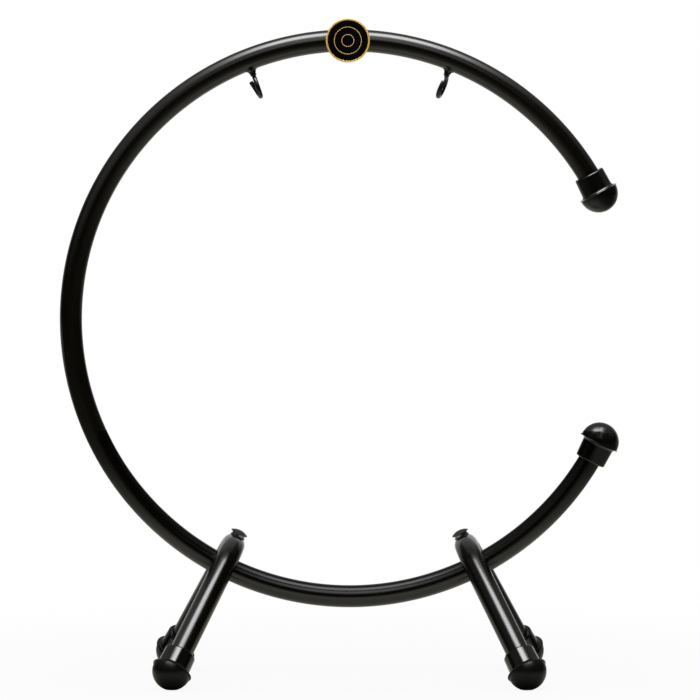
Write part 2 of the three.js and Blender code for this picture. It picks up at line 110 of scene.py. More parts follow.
# Bolts and washers
BOLT_RADIUS = 4 * MM
BOLT_LENGTH = 40 * MM
BOLT_HEAD_RADIUS = 9.35 * MM
BOLT_HEAD_HEIGHT = 4 * MM
BOLT_HEAD_RIM = 1.1 * MM
BOLT_RIM_ROUND = 0.3 * MM
BOLT_SOCKET_WIDTH = 5 * MM
BOLT_SOCKET_MOUTH_SHARE = 1.25
BOLT_SOCKET_DEPTH = 2.4 * MM
BOLT_POINT_CHAMFER = 0.8 * MM
SPRING_WASHER_RADIUS = 7.3 * MM
SPRING_WASHER_THICKNESS = 2.2 * MM
SPRING_WASHER_GAP = 1.6 * MM
FLAT_WASHER_RADIUS = 8.3 * MM
FLAT_WASHER_THICKNESS = 1.2 * MM
WASHER_BORE_RADIUS = BOLT_RADIUS + FIT
EDGE_BREAK = 0.15 * MM

# Hooks and bosses
HOOK_SITES = {
    "left": {"swivel": math.radians(-1), "spread": 5.4 * MM},
    "right": {"swivel": math.radians(192), "spread": 1.5 * MM},
}
WIRE_RADIUS = 2.4 * MM
HOOK_SHANK_REACH = 4 * MM
HOOK_COLLAR_RADIUS = 3.4 * MM
HOOK_COLLAR_LENGTH = 2 * MM
HOOK_COLLAR_ROUND = 0.7 * MM
HOOK_NECK_RADIUS = 3.5 * MM
HOOK_LOOP_RADIUS = 11.6 * MM
HOOK_DROP = 29.9 * MM
HOOK_SPREAD_POWER = 2.6
HOOK_TIP_ANGLE = math.radians(297)
HOOK_TIP_ROUND = 0.8 * MM
BOSS_HEIGHT = 4 * MM
BOSS_BASE_RADIUS = 6.5 * MM
BOSS_TIP_RADIUS = 3.6 * MM

# Badge
BADGE_RADIUS = 23.6 * MM
BADGE_THICKNESS = 2 * MM
BADGE_RIM_WIDTH = 1.7 * MM
BADGE_RIM_ROUND = 0.5 * MM
BADGE_RECESS = 0.9 * MM
BADGE_FACE_THICKNESS = 0.5 * MM
BADGE_RISE = 0.8 * MM
BADGE_OFFSET = -1.9 * MM
BADGE_PAD_LENGTH = 30 * MM
BADGE_PAD_WIDTH = 18 * MM
BADGE_PAD_CORNER = 4 * MM
BADGE_PAD_THICKNESS = 1.1 * MM
BADGE_PAD_FRONT = RING_TUBE_RADIUS + FIT + BADGE_PAD_THICKNESS
ENAMEL_RING_RADII = (14.5 * MM, 6.5 * MM)
ENAMEL_RING_WIDTH = 0.5 * MM
ENAMEL_RING_EDGE_SHARES = (0.4, 0.6)

# Fineness of the meshes
TUBE_SIDES = 96
RING_STEPS = 420
BEND_STEPS = 130
LEG_STEPS = 24
CAP_SIDES = 96
BORE_STEPS = 12
TURNED_SIDES = 72
BADGE_SIDES = 144
PAD_STEPS = 4
WIRE_SIDES = 32
LOOP_STEPS = 96
NECK_STEPS = 16
ARC_STEPS = 8
EDGE_STEPS = 4
DOME_STEPS = 24
SHARP_ANGLE = math.radians(35)

# Finishes, where peel and grain are each a size and a depth
MATT = "matt"
MATT_SPECULAR_SHARE = 0.3
RING_CAP_WEAR = 0.5
FOOT_CAP_WEAR = 1.0
PLAIN_SPECULAR = 0.5
MOTTLE_SIZE = 40 * MM
NOISE_SPAN = (0.3, 0.7)
TONE_GRAIN_SHARE = 0.5
GLOSS_GRAIN_SHARE = 0.35
FINISHES = {
    "powder_coat": {
        "dark": (0.0011, 0.0009, 0.0003),
        "light": (0.0022, 0.0018, 0.0008),
        "rough": (0.17, 0.22),
        "peel": (2.2 * MM, 0.001 * MM),
        "grain": (0.35 * MM, 0.0003 * MM),
    },
    "cap_rubber": {
        "dark": (0.001, 0.001, 0.0008),
        "light": (0.0022, 0.0022, 0.0018),
        "rough": (0.1, 0.14),
        "matt_rough": 0.3,
        "peel": (3.0 * MM, 0.0008 * MM),
        "grain": (0.5 * MM, 0.0004 * MM),
    },
    "black_steel": {
        "dark": (0.022, 0.022, 0.02),
        "light": (0.045, 0.045, 0.042),
        "rough": (0.3, 0.38),
        "peel": (1.2 * MM, 0.003 * MM),
        "grain": (0.2 * MM, 0.0006 * MM),
    },
    "hook_steel": {
        "dark": (0.0012, 0.0012, 0.0012),
        "light": (0.003, 0.003, 0.003),
        "rough": (0.22, 0.3),
        "peel": (1.6 * MM, 0.003 * MM),
        "grain": (0.25 * MM, 0.0006 * MM),
    },
    "zinc_steel": {
        "dark": (0.2, 0.2, 0.205),
        "light": (0.32, 0.325, 0.33),
        "rough": (0.3, 0.42),
        "metallic": 1.0,
        "peel": (1.0 * MM, 0.004 * MM),
        "grain": (0.15 * MM, 0.001 * MM),
    },
    "pad_foam": {
        "dark": (0.012, 0.012, 0.0125),
        "light": (0.03, 0.03, 0.031),
        "rough": (0.8, 0.95),
        "specular": 0.3,
        "peel": (1.0 * MM, 0.06 * MM),
        "grain": (0.3 * MM, 0.04 * MM),
    },
    "badge_brass": {
        "dark": (0.5, 0.28, 0.05),
        "light": (0.6, 0.36, 0.07),
        "rough": (0.24, 0.34),
        "metallic": 0.2,
        "peel": (1.4 * MM, 0.002 * MM),
        "grain": (0.2 * MM, 0.0006 * MM),
    },
}
ENAMEL_BLACKS = ((0.0009, 0.0009, 0.0009), (0.002, 0.002, 0.002))
ENAMEL_GOLDS = ((0.6, 0.36, 0.11), (0.74, 0.47, 0.16))
ENAMEL_ROUGH = (0.1, 0.16)
ENAMEL_MOTTLE_SIZE = 6 * MM
ENAMEL_SPECKLE_SIZE = 0.4 * MM
ENAMEL_SPECKLE_SHARE = 0.1
ENAMEL_GOLD_METALLIC = 0.2
ENAMEL_GOLD_DEPTH = 0.02 * MM

# Glow that floor and world show to mirror rays
WHITE = (1, 1, 1)
LEFT_SHARE = 0.4
RIGHT_SHARE = 0.3

# Floor, with its glow as stops of a distance and a strength
FLOOR_RADIUS = 4.0
FLOOR_PAPERS = ((0.92, 0.92, 0.92), (0.95, 0.95, 0.95))
FLOOR_PAPER_GRAIN = 0.25
FLOOR_SHADOW_SHARE = 0.1
FLOOR_SHADOW_SPAN = (0.45, 0.9)
FLOOR_GLOW = (
    (0.0, 0.66),
    (0.12, 0.7),
    (0.25, 0.9),
    (0.4, 0.78),
    (0.62, 0.42),
    (0.95, 0.2),
    (1.5, 0.1),
    (4.0, 0.02),
)
FLOOR_GLOW_SQUEEZE = (1.35, 1, 1)
FLOOR_TINT = (1, 0.98, 0.85)
FLOOR_OUTER_SHARE = 0.6
FLOOR_OUTER_SPAN = (0.35, 0.8)
FLOOR_BACK_GLOW = 0.95
FLOOR_BACK_SPAN = (0.2, 1.0)
FLOOR_LEFT_SPAN = (-0.8, 0.1)
FLOOR_RIGHT_SPAN = (0.2, 1.0)
# Painted contact shadow on the floor's glow: the reaches of its occlusion, and its samples
CONTACT_SHADOW_REACHES = (0.12, 0.03, 0.03)
CONTACT_SHADOW_SAMPLES = 6

# World, with spans of the parts of a ray's direction
AMBIENT = 0.8
CEILING_GLOW = 0.32
CEILING_SPAN = (0.2, 0.7)
CEILING_FRONT_SPAN = (-0.5, 0.1)
BACK_SPAN = (0.3, 0.95)
BACK_LEFT_SPAN = (-0.6, 0.0)
BACK_RIGHT_SPAN = (0.2, 0.8)
BACK_UPPER_SPAN = (0.0, 0.5)

# Softboxes, with the way from aim to lamp, and layers of a width, a depth and a mirror's radiance
LAYER_STEP = 2 * MM
OVERHEAD_AIM_DEPTH = -0.27
OVERHEAD_HEIGHT = 1.5
OVERHEAD_WAY = Vector((0, 0, RING_RADIUS + OVERHEAD_HEIGHT))
OVERHEAD_LAYERS = (
    (1.2, 0.8, 4.5),
    (1.5, 0.95, 5),
    (1.8, 1.15, 3.5),
    (2.3, 1.5, 1.2),
    (3.0, 2.1, 0.3),
)
ROOM_AIM_HEIGHT = 0.4
ROOM_WAY = Vector((0, -3.0, 2.7))
ROOM_LAYERS = ((1.4, 1.6, 0.8), (2.0, 2.2, 0.6), (2.8, 2.8, 0.4))
LOW_AIM_HEIGHT = 0.15
CEILING_WAY = Vector((-0.1, 0.7, 1.88))
CEILING_LAYERS = ((2.2, 1.7, 1.0), (2.8, 2.2, 0.7), (3.4, 2.8, 0.5))
SIDE_WAY = Vector((-1.65, -1.05, 1.55))
SIDE_LAYERS = ((1.4, 1.4, 0.13), (2.2, 2.2, 0.14), (3.0, 3.0, 0.13))
FOOT_SIDE_LAYERS = ((1.6, 1.6, 0.07), (2.6, 2.6, 0.08))
BEHIND_WAY = Vector((-0.1, 1.66, 1.1))
BEHIND_LAYERS = ((1.8, 0.8, 0.25), (2.4, 1.2, 0.25), (3.2, 1.6, 0.2))
LEFT_WAY = Vector((-1.4, 1.3, 0.5))
LEFT_LAYERS = ((1.0, 0.9, 0.15), (1.6, 1.3, 0.2))
RIGHT_WAY = Vector((1.1, 1.3, 1.0))
RIGHT_LAYERS = ((0.9, 0.8, 0.25), (1.4, 1.2, 0.2))
LEG_AIM = (0.19, -0.07, 0.09)
FOOT_LAMP_DISTANCE = 1.5
FOOT_LAMP_WAYS = {"left": Vector((-0.05, -0.55, 1)), "right": Vector((0.15, -0.55, 1))}
FOOT_LAYERS = (
    (0.63, 0.25, 3),
    (0.8, 0.34, 3.2),
    (0.96, 0.44, 3.1),
    (1.12, 0.66, 2.7),
    (1.3, 0.95, 2),
    (1.5, 1.4, 0.9),
)
CAP_LAMP_SHIFT = Vector((-0.1, 0, 0))
CAP_LAYERS = ((0.9, 0.4, 7), (1.15, 0.6, 7), (1.3, 0.8, 2))

# Scrim inside the ring
FLAG_HEIGHT = -0.12
FLAG_REACH = (0.27, 0.13)
FLAG_SHARE = 0.25

# Camera, as the photograph was taken
FRAME_PIXELS = 700
FOCAL_PIXELS = 11149.5
RING_CENTRE_PIXEL = (349.65, 318.9)
CAMERA_DISTANCE = 12
CAMERA_ELEVATION = math.radians(4.65)
CAMERA_AZIMUTH = math.radians(0.15)
SENSOR_WIDTH = 36
CLIP_START = 0.1
CLIP_END = 100

# Colour sockets of the Mix node
MIX_A = 6
MIX_B = 7
MIX_RESULT = 2


def ring_centre():
    """The middle of the ring, which both hooks' axes point away from."""
    joint = JOINTS["hook_left"]
    return Vector(joint["pos_m"]) - HOOK_JOINT_RADIUS * Vector(joint["axis"])


CENTRE = ring_centre()


# Places
def in_ring(turn=0.0):
    """The frame at the ring's centre, turned about its axis."""
    return Matrix.Translation(CENTRE) @ Matrix.Rotation(turn, 4, "Y")


def on_foot(side, height):
    """The frame on the axis of a foot's bolt, at a height over the ring's centre."""
    return in_ring(FOOT_TURNS[side]) @ Matrix.Translation((0, 0, height))


def place_along(origin, along, across):
    """A place whose Z points along one unit vector, and whose X lies across it."""
    z = along.normalized()
    x = (across - across.dot(z) * z).normalized()
    y = z.cross(x)
    place = Matrix((x, y, z)).transposed().to_4x4()
    place.translation = origin
    return place


# Outlines and meshes
def circle(origin, across, along, radius, sides):
    """A ring of points round the origin, from one unit vector towards another."""
    points = []
    for i in range(sides):
        angle = 2 * math.pi * i / sides
        points.append(origin + radius * (math.cos(angle) * across + math.sin(angle) * along))
    return points


def arc(centre, radii, start, end, steps=ARC_STEPS):
    """Points of an elliptical arc in a profile, as pairs of radius and height."""
    points = []
    for i in range(steps + 1):
        angle = start + (end - start) * i / steps
        points.append((
            centre[0] + radii[0] * math.cos(angle),
            centre[1] + radii[1] * math.sin(angle),
        ))
    return points


def turned(profile, sides):
    """Rings of points for a profile that turns about Z. A point on the axis is a pole."""
    rings = []
    for radius, height in profile:
        middle = Vector((0, 0, height))
        if radius == 0:
            rings.append([middle])
        else:
            rings.append(circle(middle, X_AXIS, Y_AXIS, radius, sides))
    return rings


def skin(shape, rings, closed):
    """Joins ring after ring with faces. Open ends are filled, and a pole gets a fan."""
    loops = [[shape.verts.new(place) for place in ring] for ring in rings]
    pairs = list(zip(loops, loops[1:]))
    if closed:
        pairs.append((loops[-1], loops[0]))
    for low, high in pairs:
        count = max(len(low), len(high))
        for i in range(count):
            j = (i + 1) % count
            corners = [
                low[i % len(low)],
                low[j % len(low)],
                high[j % len(high)],
                high[i % len(high)],
            ]
            shape.faces.new(list(dict.fromkeys(corners)))
    if not closed:
        for end in (loops[0], loops[-1]):
            if len(end) > 1:
                shape.faces.new(end)


def new_mesh(name, shape, material):
    """A mesh of one material, which uses its shape up."""
    mesh = bpy.data.meshes.new(name)
    shape.to_mesh(mesh)
    shape.free()
    mesh.materials.append(material)
    return mesh


def new_object(name, data):
    """An object in the scene."""
    thing = bpy.data.objects.new(name, data)
    SCENE.collection.objects.link(thing)
    return thing


def make_piece(node, finish, *skins):
    """A piece that stands for a CAD node, on its body and with its finish as its material.

    A skin is its rings, their place, and whether the last ring joins the first.
    """
    shape = bmesh.new()
    for rings, place, closed in skins:
        skin(shape, [[place @ point for point in ring] for ring in rings], closed)
    bmesh.ops.recalc_face_normals(shape, faces=shape.faces)
    mesh = new_mesh("fine_" + node, shape, finish)
    mesh.shade_smooth()
    mesh.set_sharp_from_angle(angle=SHARP_ANGLE)
    piece = new_object("fine_" + node, mesh)
    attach(piece, BODIES[node])
    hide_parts(node)
    return piece


# Materials
def rgba(colour):
    """Three numbers with a full alpha. A socket stays as it is."""
    return (*colour, 1) if isinstance(colour, tuple) else colour


class Nodes:
    """Short ways to add and join the nodes of one tree."""

    def __init__(self, tree):
        self.tree = tree
        tree.nodes.clear()

    def add(self, kind, inputs=(), **settings):
        node = self.tree.nodes.new("ShaderNode" + kind)
        for name, value in settings.items():
            setattr(node, name, value)
        for name, value in dict(inputs).items():
            self.put(node.inputs[name], value)
        return node

    def put(self, socket, value):
        if isinstance(value, bpy.types.NodeSocket):
            self.tree.links.new(value, socket)
        else:
            socket.default_value = value

    def maths(self, operation, *values):
        node = self.add("Math", operation=operation)
        for socket, value in zip(node.inputs, values):
            self.put(socket, value)
        return node.outputs[0]

    def product(self, first, *others):
        for other in others:
            first = self.maths("MULTIPLY", first, other)
        return first

    def weigh(self, share, first, second):
        """The share of the first value, and the rest of the second."""
        rest = self.maths("MULTIPLY", second, 1 - share)
        return self.maths("MULTIPLY_ADD", first, share, rest)

    def length(self, vector):
        return self.add("VectorMath", {0: vector}, operation="LENGTH").outputs["Value"]

    def ramp(self, value, low, high, span=(0.0, 1.0), smooth=False):
        """From low to high while the value goes through the span."""
        inputs = {
            "Value": value,
            "From Min": span[0],
            "From Max": span[1],
            "To Min": low,
            "To Max": high,
        }
        kind = "SMOOTHSTEP" if smooth else "LINEAR"
        return self.add("MapRange", inputs, interpolation_type=kind).outputs["Result"]

    def curve(self, value, span, stops):
        """A smooth curve through stops, each a place and a height, both as they are."""
        share = self.ramp(value, 0.0, 1.0, span)
        tallest = max(height for place, height in stops)
        node = self.add("ValToRGB", {"Fac": share})
        node.color_ramp.interpolation = "EASE"
        points = node.color_ramp.elements
        while len(points) < len(stops):
            points.new(position=0.5)
        for point, (place, height) in zip(points, stops):
            point.position = (place - span[0]) / (span[1] - span[0])
            point.color = (height / tallest,) * 3 + (1,)
        return self.maths("MULTIPLY", node.outputs["Color"], tallest)

    def noise(self, place, size, detail=2.0, roughness=0.5):
        inputs = {"Vector": place, "Scale": 1 / size, "Detail": detail, "Roughness": roughness}
        return self.add("TexNoise", inputs).outputs["Fac"]

    def blend(self, share, dark, light):
        """Two colours mixed, each three numbers or a socket."""
        inputs = {"Factor": share, MIX_A: rgba(dark), MIX_B: rgba(light)}
        return self.add("Mix", inputs, data_type="RGBA").outputs[MIX_RESULT]

    def bump(self, height, depth, **inputs):
        inputs.update({"Height": height, "Strength": 1.0, "Distance": depth})
        return self.add("Bump", inputs).outputs["Normal"]

    def surface(self, shader, kind="OutputMaterial"):
        self.add(kind, {"Surface": shader.outputs[0]})


def new_material(name):
    """An empty material and the nodes of its tree."""
    material = bpy.data.materials.new(name)
    material.use_nodes = True
    return material, Nodes(material.node_tree)


def make_finish(name):
    """A finish with mottled colour and gloss, a broad peel and a fine grain.

    Where it has a matt roughness, that holds where the mesh attribute MATT is one.
    """
    look = FINISHES[name]
    peel_size, peel_depth = look["peel"]
    grain_size, grain_depth = look["grain"]
    specular = look.get("specular", PLAIN_SPECULAR)
    material, nodes = new_material(name)
    place = nodes.add("TexCoord").outputs["Object"]
    mottle = nodes.noise(place, MOTTLE_SIZE, detail=4.0, roughness=0.6)
    peel = nodes.noise(place, peel_size)
    grain = nodes.noise(place, grain_size, detail=3.0, roughness=0.65)
    tone = nodes.ramp(nodes.weigh(TONE_GRAIN_SHARE, grain, mottle), 0.0, 1.0, NOISE_SPAN)
    gloss = nodes.ramp(nodes.weigh(GLOSS_GRAIN_SHARE, grain, mottle), *look["rough"], NOISE_SPAN)
    if "matt_rough" in look:
        matt = nodes.add("Attribute", attribute_name=MATT).outputs["Fac"]
        gloss = nodes.ramp(matt, gloss, look["matt_rough"])
        specular = nodes.ramp(matt, specular, MATT_SPECULAR_SHARE * specular)
    broad = nodes.bump(peel, peel_depth)
    shader = nodes.add("BsdfPrincipled", {
        "Base Color": nodes.blend(tone, look["dark"], look["light"]),
        "Roughness": gloss,
        "Metallic": look.get("metallic", 0.0),
        "Specular IOR Level": specular,
        "Normal": nodes.bump(grain, grain_depth, Normal=broad),
    })
    nodes.surface(shader)
    return material


def badge_enamel():
    """Black enamel with thin gold rings about the badge's own axis."""
    material, nodes = new_material("badge_enamel")
    place = nodes.add("TexCoord").outputs["Object"]
    parts = nodes.add("SeparateXYZ", {"Vector": place}).outputs
    radius = nodes.maths("SQRT", nodes.maths(
        "ADD",
        nodes.maths("MULTIPLY", parts["X"], parts["X"]),
        nodes.maths("MULTIPLY", parts["Y"], parts["Y"]),
    ))
    edge = [share * ENAMEL_RING_WIDTH for share in ENAMEL_RING_EDGE_SHARES]
    gold = 0.0
    for ring in ENAMEL_RING_RADII:
        off = nodes.maths("ABSOLUTE", nodes.maths("SUBTRACT", radius, ring))
        gold = nodes.maths("MAXIMUM", nodes.ramp(off, 1.0, 0.0, edge), gold)
    mottle = nodes.noise(place, ENAMEL_MOTTLE_SIZE, detail=3.0)
    speckle = nodes.noise(place, ENAMEL_SPECKLE_SIZE)
    black = nodes.blend(mottle, *ENAMEL_BLACKS)
    ink = nodes.blend(speckle, *ENAMEL_GOLDS)
    height = nodes.maths("MULTIPLY_ADD", speckle, ENAMEL_SPECKLE_SHARE, gold)
    shader = nodes.add("BsdfPrincipled", {
        "Base Color": nodes.blend(gold, black, ink),
        "Roughness": nodes.ramp(mottle, *ENAMEL_ROUGH),
        "Metallic": nodes.maths("MULTIPLY", gold, ENAMEL_GOLD_METALLIC),
        "Normal": nodes.bump(height, ENAMEL_GOLD_DEPTH),
    })
    nodes.surface(shader)
    return material


# Ring tube
def ring_station(angle, radius):
    """A ring of points square to the ring tube."""
    out = Vector((math.cos(angle), 0, math.sin(angle)))
    return circle(RING_RADIUS * out, out, Y_AXIS, radius, TUBE_SIDES)


def ring_tube(finish):
    """The long way round, from the upper end to the lower one."""
    outer = []
    inner = []
    sweep = 2 * math.pi + RING_LOWER_END - RING_UPPER_END
    for i in range(RING_STEPS + 1):
        angle = RING_UPPER_END + sweep * i / RING_STEPS
        outer.append(ring_station(angle, RING_TUBE_RADIUS))
        inner.append(ring_station(angle, RING_TUBE_RADIUS - RING_TUBE_WALL))
    make_piece("ring_tube", finish, (outer + inner[::-1], in_ring(), True))


# End caps
def cap_profile(tube_radius):
    """From the tip of the dome back to the mouth."""
    collar = tube_radius + FIT + CAP_WALL
    foot = collar + CAP_COLLAR_TAPER
    lip_top = CAP_COLLAR_LENGTH + CAP_LIP
    flare_start = CAP_COLLAR_LENGTH - CAP_FLARE_LENGTH
    dome_radii = (CAP_DOME_RADIUS, CAP_DOME_RADIUS)
    dome = arc((0, CAP_DOME_CENTRE), dome_radii, QUARTER, 0, DOME_STEPS)
    dome[0] = (0, CAP_DOME_CENTRE + CAP_DOME_RADIUS)
    lip_centre = (CAP_FLANGE_RADIUS - CAP_EDGE_ROUND, lip_top - CAP_EDGE_ROUND)
    lip = arc(lip_centre, (CAP_EDGE_ROUND, CAP_EDGE_ROUND), QUARTER, 0, EDGE_STEPS)
    flare_radii = (foot - CAP_FLANGE_RADIUS, CAP_FLARE_LENGTH)
    flare = arc((CAP_FLANGE_RADIUS, flare_start), flare_radii, QUARTER, 0)
    rim_centre = (collar - CAP_RIM_RADIUS, CAP_RIM_RADIUS)
    rim = arc(rim_centre, (CAP_RIM_RADIUS, CAP_RIM_RADIUS), 0, -QUARTER)
    return dome + lip + flare + rim


def cap_bore(radius, bend_radius):
    """From the mouth to the web, straight or along a tube with a bend."""
    rings = []
    for i in range(BORE_STEPS + 1):
        depth = CAP_BORE_DEPTH * i / BORE_STEPS
        offset = 0.0
        if bend_radius:
            from_end = CAP_BORE_DEPTH - depth
            offset = bend_radius - math.sqrt(bend_radius**2 - from_end**2)
        rings.append(circle(Vector((offset, 0, depth)), X_AXIS, Y_AXIS, radius, CAP_SIDES))
    rings.append([Vector((0, 0, CAP_BORE_DEPTH))])
    return rings


def end_cap(node, finish, place, tube_radius, wear, bend_radius=None):
    """A cap whose axis is the place's Z, with its mouth at zero. Wear makes its dome matt."""
    outside = turned(cap_profile(tube_radius), CAP_SIDES)
    bore = cap_bore(tube_radius + FIT, bend_radius)
    cap = make_piece(node, finish, (outside + bore, place, False))
    matt = cap.data.attributes.new(MATT, "FLOAT", "POINT")
    dome_points = 1 + DOME_STEPS * CAP_SIDES
    for i in range(dome_points):
        matt.data[i].value = wear
    return cap


def ring_caps(finish):
    for name, angle, turn in (("upper", RING_UPPER_END, -1), ("lower", RING_LOWER_END, 1)):
        out = Vector((math.cos(angle), 0, math.sin(angle)))
        along = turn * Vector((-math.sin(angle), 0, math.cos(angle)))
        mouth = RING_RADIUS * out + (FIT - CAP_BORE_DEPTH) * along
        place = in_ring() @ place_along(mouth, along, -out)
        end_cap("ring_cap_" + name, finish, place, RING_TUBE_RADIUS, RING_CAP_WEAR, RING_RADIUS)


# Feet
def foot_station(radius, angle, beyond):
    """A ring of points square to a foot's bend, or to the leg that runs on beyond it."""
    out = Vector((0, math.sin(angle), math.cos(angle)))
    ahead = Vector((0, math.cos(angle), -math.sin(angle)))
    middle = FOOT_BEND_CENTRE + FOOT_BEND_RADIUS * out + beyond * ahead
    return circle(middle, X_AXIS, out, radius, TUBE_SIDES)


def foot_stations(radius):
    """Rings along a foot's centre line, from the front leg's end to the rear leg's."""
    rings = []
    for i in range(LEG_STEPS):
        beyond = -FOOT_LEG_LENGTH * (1 - i / LEG_STEPS)
        rings.append(foot_station(radius, -FOOT_BEND_ANGLE, beyond))
    for i in range(BEND_STEPS + 1):
        angle = FOOT_BEND_ANGLE * (2 * i / BEND_STEPS - 1)
        rings.append(foot_station(radius, angle, 0))
    for i in range(LEG_STEPS):
        beyond = FOOT_LEG_LENGTH * (i + 1) / LEG_STEPS
        rings.append(foot_station(radius, FOOT_BEND_ANGLE, beyond))
    return rings


def press_seat(rings, height, radius):
    """Presses the crest down to a flat round seat with a soft edge."""
    for ring in rings:
        for point in ring:
            away = math.hypot(point.x, point.y)
            if point.z > height and away < radius + FOOT_SEAT_BLEND:
                share = max((away - radius) / FOOT_SEAT_BLEND, 0.0)
                share = share * share * (3 - 2 * share)
                point.z = height + (point.z - height) * share


def foot_tube(side, finish):
    outer = foot_stations(FOOT_TUBE_RADIUS)
    inner = foot_stations(FOOT_TUBE_RADIUS - FOOT_TUBE_WALL)
    press_seat(outer, -FOOT_SEAT, FOOT_SEAT_RADIUS)
    press_seat(inner, -FOOT_SEAT - FOOT_TUBE_WALL, FOOT_SEAT_RADIUS + FOOT_TUBE_WALL)
    make_piece("foot_tube_" + side, finish, (outer + inner[::-1], in_ring(FOOT_TURNS[side]), True))


def foot_caps(side, finish):
    """Caps on both legs' ends, flat where they stand on the floor."""
    for name, end in (("front", -1), ("rear", 1)):
        out = Vector((0, end * math.sin(FOOT_BEND_ANGLE), math.cos(FOOT_BEND_ANGLE)))
        along = Vector((0, end * math.sin(FOOT_LEG_ANGLE), -math.cos(FOOT_LEG_ANGLE)))
        leg_end = FOOT_BEND_CENTRE + FOOT_BEND_RADIUS * out + FOOT_LEG_LENGTH * along
        mouth = leg_end + (FIT - CAP_BORE_DEPTH) * along
        place = in_ring(FOOT_TURNS[side]) @ place_along(mouth, along, X_AXIS)
        cap = end_cap(f"foot_cap_{side}_{name}", finish, place, FOOT_TUBE_RADIUS, FOOT_CAP_WEAR)
        for vertex in cap.data.vertices:
            vertex.co.z = max(vertex.co.z, 0.0)


# Bolts and washers
def hexagon(width, height):
    """A ring of points on a hexagon, in step with a circle of as many points."""
    points = []
    for i in range(TURNED_SIDES):
        angle = 2 * math.pi * i / TURNED_SIDES
        from_flat = angle % (math.pi / 3) - math.pi / 6
        radius = width / 2 / math.cos(from_flat)
        points.append(Vector((radius * math.cos(angle), radius * math.sin(angle), height)))
    return points


def foot_bolt(side, finish, seat):
    """Domed head with a rounded rim and a hexagon socket, on a plain shank with a point."""
    dome = BOLT_HEAD_HEIGHT - BOLT_HEAD_RIM
    dome_radius = (BOLT_HEAD_RADIUS**2 + dome**2) / (2 * dome)
    dome_angle = math.asin(BOLT_HEAD_RADIUS / dome_radius)
    mouth_angle = math.asin(BOLT_SOCKET_MOUTH_SHARE * BOLT_SOCKET_WIDTH / 2 / dome_radius)
    rim_centre = (BOLT_HEAD_RADIUS - BOLT_RIM_ROUND, BOLT_RIM_ROUND)
    profile = [
        (0, -BOLT_LENGTH),
        (BOLT_RADIUS - BOLT_POINT_CHAMFER, -BOLT_LENGTH),
        (BOLT_RADIUS, -BOLT_LENGTH + BOLT_POINT_CHAMFER),
        (BOLT_RADIUS, 0),
    ]
    profile += arc(rim_centre, (BOLT_RIM_ROUND, BOLT_RIM_ROUND), -QUARTER, 0)
    profile += arc(
        (0, BOLT_HEAD_HEIGHT - dome_radius),
        (dome_radius, dome_radius),
        QUARTER - dome_angle,
        QUARTER - mouth_angle,
    )
    rings = turned(profile, TURNED_SIDES)
    mouth = profile[-1][1]
    floor = BOLT_HEAD_HEIGHT - BOLT_SOCKET_DEPTH
    rings.append(hexagon(BOLT_SOCKET_WIDTH + 2 * EDGE_BREAK, mouth))
    rings.append(hexagon(BOLT_SOCKET_WIDTH, mouth - EDGE_BREAK))
    rings.append(hexagon(BOLT_SOCKET_WIDTH, floor))
    rings.append([Vector((0, 0, floor - EDGE_BREAK))])
    make_piece("foot_bolt_" + side, finish, (rings, on_foot(side, seat), False))


def spring_washer(side, finish, seat):
    """A split ring of square wire with broken edges, its two ends at a narrow gap."""
    half_gap = math.asin(SPRING_WASHER_GAP / 2 / SPRING_WASHER_RADIUS)
    top = SPRING_WASHER_THICKNESS
    section = [
        (WASHER_BORE_RADIUS + EDGE_BREAK, 0),
        (SPRING_WASHER_RADIUS - EDGE_BREAK, 0),
        (SPRING_WASHER_RADIUS, EDGE_BREAK),
        (SPRING_WASHER_RADIUS, top - EDGE_BREAK),
        (SPRING_WASHER_RADIUS - EDGE_BREAK, top),
        (WASHER_BORE_RADIUS + EDGE_BREAK, top),
        (WASHER_BORE_RADIUS, top - EDGE_BREAK),
        (WASHER_BORE_RADIUS, EDGE_BREAK),
    ]
    rings = []
    for i in range(TURNED_SIDES + 1):
        angle = half_gap + (2 * math.pi - 2 * half_gap) * i / TURNED_SIDES
        out = Vector((math.cos(angle), math.sin(angle), 0))
        rings.append([radius * out + Vector((0, 0, height)) for radius, height in section])
    make_piece("spring_washer_" + side, finish, (rings, on_foot(side, seat), False))


def flat_washer(side, finish, seat):
    top = FLAT_WASHER_THICKNESS
    profile = [
        (WASHER_BORE_RADIUS, 0),
        (FLAT_WASHER_RADIUS - EDGE_BREAK, 0),
        (FLAT_WASHER_RADIUS, EDGE_BREAK),
        (FLAT_WASHER_RADIUS, top - EDGE_BREAK),
        (FLAT_WASHER_RADIUS - EDGE_BREAK, top),
        (WASHER_BORE_RADIUS, top),
    ]
    rings = turned(profile, TURNED_SIDES)
    make_piece("flat_washer_" + side, finish, (rings, on_foot(side, seat), True))


def foot_fasteners(side, steel, zinc):
    washer_seat = -FOOT_SEAT + FIT
    spring_seat = washer_seat + FLAT_WASHER_THICKNESS + FIT
    head_seat = spring_seat + SPRING_WASHER_THICKNESS + FIT
    flat_washer(side, steel, washer_seat)
    spring_washer(side, zinc, spring_seat)
    foot_bolt(side, steel, head_seat)


# Hooks and bosses
def hook_place(side):
    """Origin on the ring tube's inner surface, Z towards the ring's centre, Y to the front."""
    axis = Vector(JOINTS["hook_" + side]["axis"])
    origin = CENTRE + (RING_RADIUS - RING_TUBE_RADIUS) * axis
    return place_along(origin, -axis, Vector((axis.z, 0, -axis.x)))


